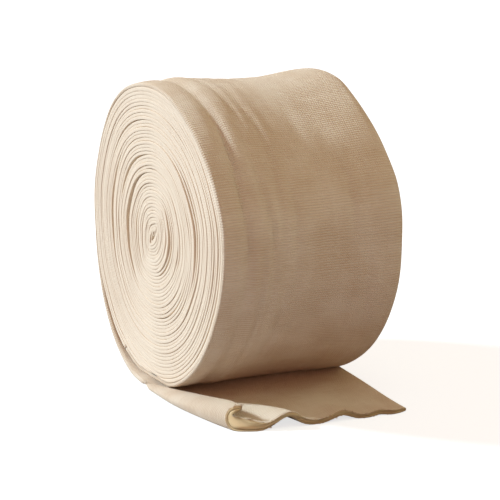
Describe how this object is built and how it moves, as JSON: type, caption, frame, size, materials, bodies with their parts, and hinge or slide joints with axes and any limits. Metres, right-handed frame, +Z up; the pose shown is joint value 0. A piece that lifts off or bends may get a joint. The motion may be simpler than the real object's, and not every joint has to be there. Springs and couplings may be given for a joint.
{
  "type": "stockinette roll",
  "caption": "Soft knitted cotton tube, pressed flat and wound into a wide roll without a core; its loose end lies forward from under the roll to a wavy cut edge.",
  "frame": {"origin": "on the resting surface, at the underside of the loose end, under the roll's axis and at the middle of its width", "axes": "+X is the way the loose end runs forward from under the roll, +Y is along the roll's axis towards its rounder end, +Z is up"},
  "size_m": [0.1758, 0.1098, 0.1606],
  "materials": {
    "cotton_knit": "unbleached cotton, soft plain knit, matt"
  },
  "bodies": {
    "root": {"wound_roll": "cotton_knit", "loose_end": "cotton_knit"}
  },
  "joints": []
}
